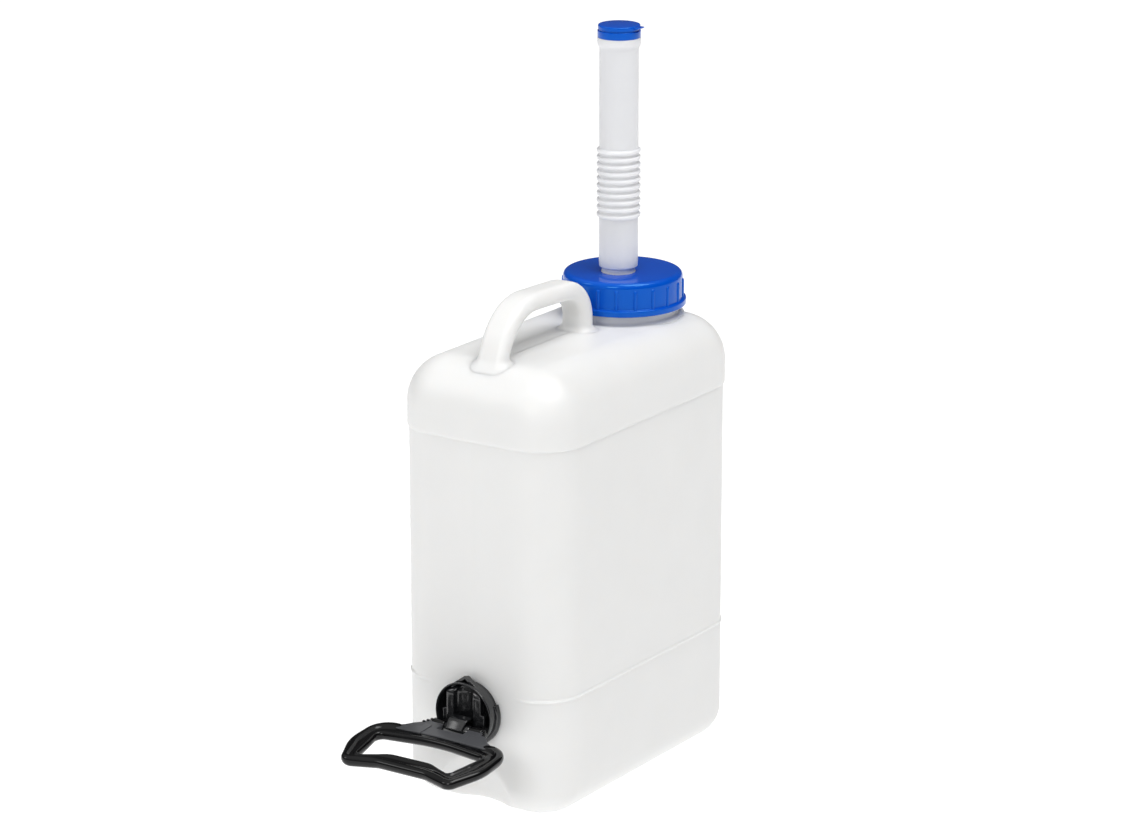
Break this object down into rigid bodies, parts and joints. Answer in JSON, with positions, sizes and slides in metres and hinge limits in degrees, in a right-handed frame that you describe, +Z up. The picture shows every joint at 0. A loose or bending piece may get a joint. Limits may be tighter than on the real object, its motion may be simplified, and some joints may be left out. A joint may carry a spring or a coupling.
{
  "type": "jerrycan with pour spout",
  "caption": "Translucent jerrycan with a carrying handle, a wide screw cap carrying a flexible bellows pour spout with a stopper, and a fold-up pouring grip.",
  "frame": {"origin": "centre of the canister's base, on the ground plane", "axes": "+Z up, Y along the length with the neck towards +Y and the pouring grip towards -Y, X across the narrow width"},
  "size_m": [0.165, 0.4009, 0.6283],
  "materials": {
    "natural_pe": "milky translucent polyethylene",
    "spout_pe": "translucent polyethylene",
    "blue_plastic": "satin blue polyethylene",
    "black_plastic": "glossy black",
    "seal_foam": "soft sealing ring",
    "pin_steel": "ground steel"
  },
  "bodies": {
    "can": {"canister": "natural_pe", "grip_bracket": "black_plastic", "hinge_pin": "pin_steel"},
    "seal": {"cap_gasket": "seal_foam"},
    "cap": {"screw_cap": "blue_plastic", "spout_nipple": "spout_pe", "spout": "spout_pe"},
    "stopper": {"spout_stopper": "blue_plastic"},
    "grip": {"grip": "black_plastic"}
  },
  "joints": [
    {"name": "cap_lift", "type": "slide", "parent": "can", "child": "seal", "axis": [0, 0, 1], "range_m": [0, 0.0091]},
    {"name": "cap_turn", "type": "hinge", "parent": "seal", "child": "cap", "pos_m": [0, 0.0823, 0.4], "axis": [0, 0, 1], "range_deg": [0, 540]},
    {"name": "stopper_pull", "type": "slide", "parent": "cap", "child": "stopper", "axis": [0, 0, 1], "range_m": [0, 0.03]},
    {"name": "grip_fold", "type": "hinge", "parent": "can", "child": "grip", "pos_m": [0, -0.163, 0.0765], "axis": [-1, 0, 0], "range_deg": [0, 96.5]}
  ],
  "couplings": [
    {"joint": "cap_lift", "follows": "cap_turn", "m_per_rad": 0.00095493}
  ]
}
